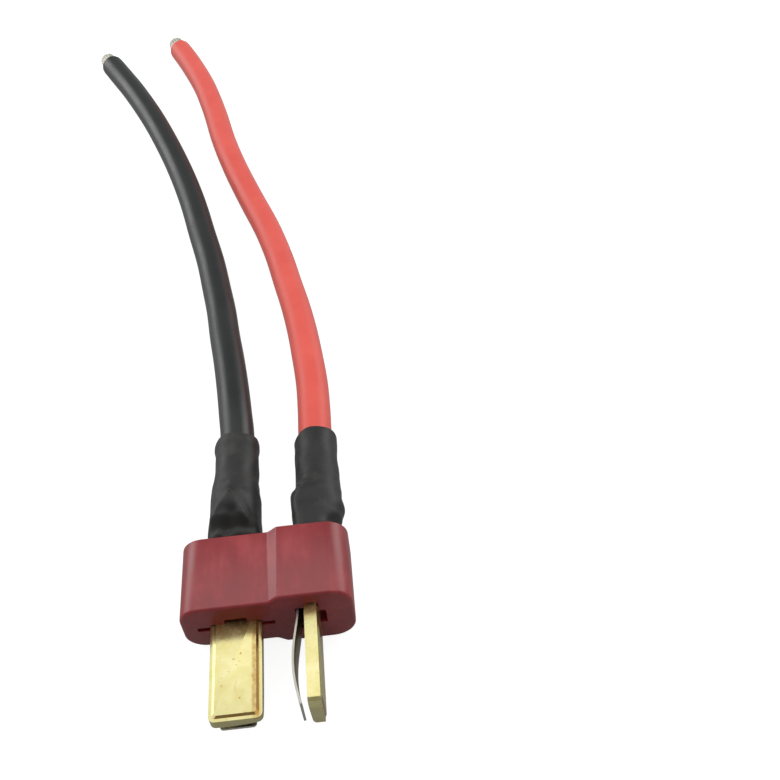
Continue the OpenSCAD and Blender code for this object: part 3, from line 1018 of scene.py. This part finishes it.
SOLDER = tin_solder("tin_solder")
COPPER = twisted_copper("twisted_copper")
for colour in ("black", "red"):
    paint(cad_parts[colour + "_solder"], SOLDER)
    paint(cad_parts[colour + "_core"], COPPER)
print("kept solids dressed:", 4)

# %% [markdown]
# ## Floor and light
# A pale table, a white backdrop that only the camera and mirrors see, and
# soft lamps above: the plain set of a product picture.

# %% Floor and light
FLOOR_Z = -4.0 * MM
FLOOR_GLOW = 0.88


def seen_directly(tree, mirrored=1.0):
    """1 for what the camera sees, and a share of it for mirrors and glass."""
    rays = node(tree, "ShaderNodeLightPath")
    both = node(tree, "ShaderNodeMath", {"operation": "MAXIMUM"},
                i0=rays.outputs["Is Glossy Ray"],
                i1=rays.outputs["Is Transmission Ray"])
    share = node(tree, "ShaderNodeMath", {"operation": "MULTIPLY"},
                 i0=both.outputs[0], i1=mirrored)
    seen = node(tree, "ShaderNodeMath", {"operation": "MAXIMUM"},
                i0=rays.outputs["Is Camera Ray"], i1=share.outputs[0])
    return seen.outputs[0]


def studio_floor():
    """Pale card that glows white to the camera and still takes a shadow near
    the plug, and is plain white further off."""
    material, tree, shader, place = new_material("studio_card", Roughness=0.9)
    shader.inputs["Base Color"].default_value = linear("#9c9c9c")
    shader.inputs["Emission Color"].default_value = grey(1.0)
    away = node(tree, "ShaderNodeVectorMath", {"operation": "LENGTH"}, i0=place)
    level = node(tree, "ShaderNodeMapRange", Value=away.outputs["Value"],
                 From_Min=0.2, From_Max=0.4, To_Min=FLOOR_GLOW, To_Max=1.0)
    glow = node(tree, "ShaderNodeMath", {"operation": "MULTIPLY"},
                i0=seen_directly(tree, mirrored=0.16),
                i1=level.outputs["Result"])
    tree.links.new(glow.outputs[0], shader.inputs["Emission Strength"])
    return material


bpy.ops.object.select_all(action="DESELECT")
bpy.ops.mesh.primitive_plane_add(size=2.0, location=(0, 0.05, FLOOR_Z))
floor = bpy.context.active_object
floor.name = "floor"
paint(floor, studio_floor())


def lamp(name, place, size, power, aim=(0, 0.03, 0)):
    """A soft box, its width and height given, that faces the plug."""
    data = bpy.data.lights.new(name, "AREA")
    data.shape, data.energy = "RECTANGLE", power
    data.size, data.size_y = size
    made = bpy.data.objects.new(name, data)
    bpy.context.scene.collection.objects.link(made)
    made.location = place
    made.rotation_euler = (Vector(aim) - Vector(place)).to_track_quat(
        "-Z", "Y").to_euler()
    return made


lamp("overhead", (0, 0.19, 0.60), (1.1, 0.65), 2.75, aim=(0, 0.189, 0))
lamp("left_card", (-0.50, 0.36, 0.20), (0.5, 0.35), 1.4)
lamp("right_card", (0.50, 0.36, 0.20), (0.5, 0.35), 1.3)

world = bpy.data.worlds.new("studio")
bpy.context.scene.world = world
world.use_nodes = True
sky = world.node_tree.nodes["Background"]
sky.inputs["Color"].default_value = grey(1.0)
strength = node(world.node_tree, "ShaderNodeMapRange",
                Value=seen_directly(world.node_tree, mirrored=0.1),
                To_Min=0.29, To_Max=1.0)
world.node_tree.links.new(strength.outputs["Result"], sky.inputs["Strength"])
bpy.context.scene.view_settings.view_transform = "Standard"
